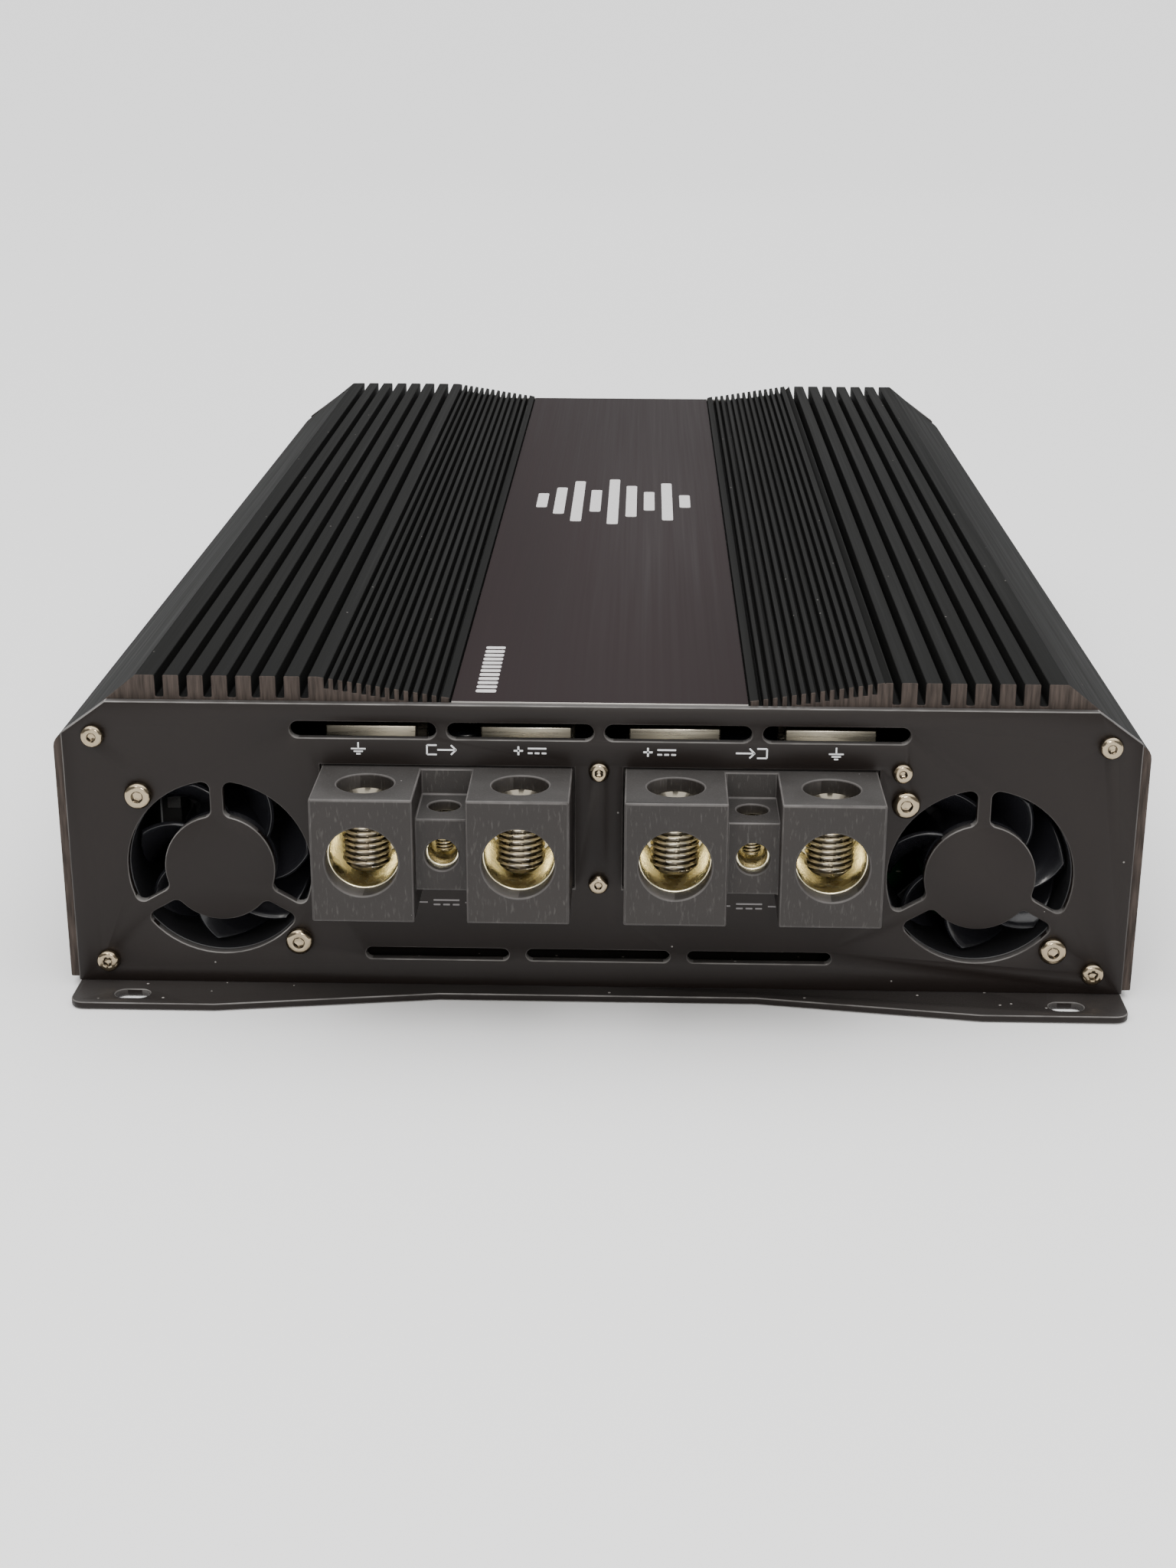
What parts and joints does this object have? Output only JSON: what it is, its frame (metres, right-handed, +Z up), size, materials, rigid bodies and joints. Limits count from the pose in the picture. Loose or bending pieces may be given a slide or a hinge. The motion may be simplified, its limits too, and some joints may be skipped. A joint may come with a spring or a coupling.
{
  "type": "car amplifier",
  "caption": "Finned black car audio power amplifier with flanged base, twin cooling fans and set-screw power terminals on the front, signal and speaker connections on the rear.",
  "frame": {"origin": "middle of the four mounting slots, on the underside of the base plate", "axes": "+Z up, the power terminals face -Y, +X is to the right when facing the power terminals"},
  "size_m": [0.224, 0.396, 0.0685],
  "materials": {
    "black_anodised": "satin black anodised",
    "badge_film": "dark mauve-brown anodised sheet with a bright cut edge",
    "black_paint": "fine satin warm black paint",
    "base_paint": "satin black paint on steel",
    "black_screw": "black oxide",
    "nickel_screw": "bright nickel plate",
    "zinc_steel": "zinc plated",
    "fan_plastic": "moulded black",
    "impeller_plastic": "glossy moulded black",
    "block_plastic": "dark grey glass-filled moulding",
    "brass_plate": "gold-coloured plate",
    "set_screw_brass": "machined, pale gold plate",
    "tinned_copper": "tinned copper",
    "board_laminate": "green solder mask on glass laminate",
    "ferrite": "grey ferrite",
    "enamel_copper": "enamelled copper wire",
    "can_sleeve": "black shrink sleeve",
    "insulator_film": "grey silicone insulator",
    "package_epoxy": "moulded epoxy package",
    "jack_plastic": "moulded black",
    "jack_insulator": "white insulator",
    "pot_plastic": "moulded component body",
    "knob_plastic": "moulded black knob",
    "switch_plastic": "white lever",
    "lamp_lens": "tinted lens"
  },
  "bodies": {
    "chassis": {"heatsink_extrusion": "black_anodised", "badge_plate": "badge_film", "front_panel": "black_paint", "rear_panel": "black_paint", "base_plate": "base_paint", "base_plate_screws": "black_screw", "panel_corner_screws": "nickel_screw", "fan_screws": "nickel_screw", "terminal_bracket_screws": "nickel_screw", "terminal_bracket": "zinc_steel", "left_fan_frame": "fan_plastic", "right_fan_frame": "fan_plastic", "left_power_block": "block_plastic", "right_power_block": "block_plastic", "ground_terminals": "brass_plate", "supply_terminals": "brass_plate", "remote_terminals": "brass_plate", "bus_bars": "tinned_copper", "board_standoffs": "nickel_screw", "main_board": "board_laminate", "board_screws": "nickel_screw", "transformer_cores": "ferrite", "transformer_windings": "enamel_copper", "output_inductor_cores": "ferrite", "output_inductor_windings": "enamel_copper", "input_capacitors": "can_sleeve", "rail_capacitors": "can_sleeve", "insulator_strips": "insulator_film", "transistor_clamp_bars": "zinc_steel", "clamp_screws": "nickel_screw", "driver_board": "board_laminate", "supply_transistors": "package_epoxy", "output_transistors": "package_epoxy", "speaker_block": "block_plastic", "speaker_terminals": "brass_plate", "signal_jack_body": "jack_plastic", "signal_jack_shells": "brass_plate", "signal_jack_insulators": "jack_insulator", "control_pots": "pot_plastic", "phase_switch_body": "pot_plastic", "bass_remote_jack": "jack_plastic", "indicator_lights": "lamp_lens", "control_board": "board_laminate"},
    "left_fan": {"left_fan_impeller": "impeller_plastic"},
    "right_fan": {"right_fan_impeller": "impeller_plastic"},
    "left_ground_screw": {"left_ground_set_screw": "set_screw_brass"},
    "left_supply_screw": {"left_supply_set_screw": "set_screw_brass"},
    "left_remote_screw": {"left_remote_set_screw": "set_screw_brass"},
    "right_ground_screw": {"right_ground_set_screw": "set_screw_brass"},
    "right_supply_screw": {"right_supply_set_screw": "set_screw_brass"},
    "right_remote_screw": {"right_remote_set_screw": "set_screw_brass"},
    "speaker_screw_1": {"speaker_set_screw_1": "set_screw_brass"},
    "speaker_screw_2": {"speaker_set_screw_2": "set_screw_brass"},
    "speaker_screw_3": {"speaker_set_screw_3": "set_screw_brass"},
    "speaker_screw_4": {"speaker_set_screw_4": "set_screw_brass"},
    "level_control": {"level_knob": "knob_plastic"},
    "low_pass_control": {"low_pass_knob": "knob_plastic"},
    "subsonic_control": {"subsonic_knob": "knob_plastic"},
    "bass_boost_control": {"bass_boost_knob": "knob_plastic"},
    "phase_lever": {"phase_switch_lever": "switch_plastic"}
  },
  "joints": [
    {"name": "left_fan_spin", "type": "hinge", "parent": "chassis", "child": "left_fan", "pos_m": [-0.0786, -0.1698, 0.0274], "axis": [0, -1, 0], "continuous": true},
    {"name": "right_fan_spin", "type": "hinge", "parent": "chassis", "child": "right_fan", "pos_m": [0.0786, -0.1698, 0.0274], "axis": [0, -1, 0], "continuous": true},
    {"name": "left_ground_screw_lift", "type": "slide", "parent": "chassis", "child": "left_ground_screw", "axis": [0, 0, 1], "range_m": [0, 0.0117]},
    {"name": "left_supply_screw_lift", "type": "slide", "parent": "chassis", "child": "left_supply_screw", "axis": [0, 0, 1], "range_m": [0, 0.0117]},
    {"name": "left_remote_screw_lift", "type": "slide", "parent": "chassis", "child": "left_remote_screw", "axis": [0, 0, 1], "range_m": [0, 0.0048]},
    {"name": "right_ground_screw_lift", "type": "slide", "parent": "chassis", "child": "right_ground_screw", "axis": [0, 0, 1], "range_m": [0, 0.0117]},
    {"name": "right_supply_screw_lift", "type": "slide", "parent": "chassis", "child": "right_supply_screw", "axis": [0, 0, 1], "range_m": [0, 0.0117]},
    {"name": "right_remote_screw_lift", "type": "slide", "parent": "chassis", "child": "right_remote_screw", "axis": [0, 0, 1], "range_m": [0, 0.0048]},
    {"name": "speaker_screw_1_drive", "type": "slide", "parent": "chassis", "child": "speaker_screw_1", "axis": [0, 0, -1], "range_m": [0, 0.0065]},
    {"name": "speaker_screw_2_drive", "type": "slide", "parent": "chassis", "child": "speaker_screw_2", "axis": [0, 0, -1], "range_m": [0, 0.0065]},
    {"name": "speaker_screw_3_drive", "type": "slide", "parent": "chassis", "child": "speaker_screw_3", "axis": [0, 0, -1], "range_m": [0, 0.0065]},
    {"name": "speaker_screw_4_drive", "type": "slide", "parent": "chassis", "child": "speaker_screw_4", "axis": [0, 0, -1], "range_m": [0, 0.0065]},
    {"name": "level_turn", "type": "hinge", "parent": "chassis", "child": "level_control", "pos_m": [-0.058, 0.1836, 0.043], "axis": [0, 1, 0], "range_deg": [-145, 145]},
    {"name": "low_pass_turn", "type": "hinge", "parent": "chassis", "child": "low_pass_control", "pos_m": [-0.042, 0.1836, 0.043], "axis": [0, 1, 0], "range_deg": [-145, 145]},
    {"name": "subsonic_turn", "type": "hinge", "parent": "chassis", "child": "subsonic_control", "pos_m": [-0.026, 0.1836, 0.043], "axis": [0, 1, 0], "range_deg": [-145, 145]},
    {"name": "bass_boost_turn", "type": "hinge", "parent": "chassis", "child": "bass_boost_control", "pos_m": [-0.01, 0.1836, 0.043], "axis": [0, 1, 0], "range_deg": [-145, 145]},
    {"name": "phase_slide", "type": "slide", "parent": "chassis", "child": "phase_lever", "axis": [1, 0, 0], "range_m": [0, 0.003]}
  ]
}
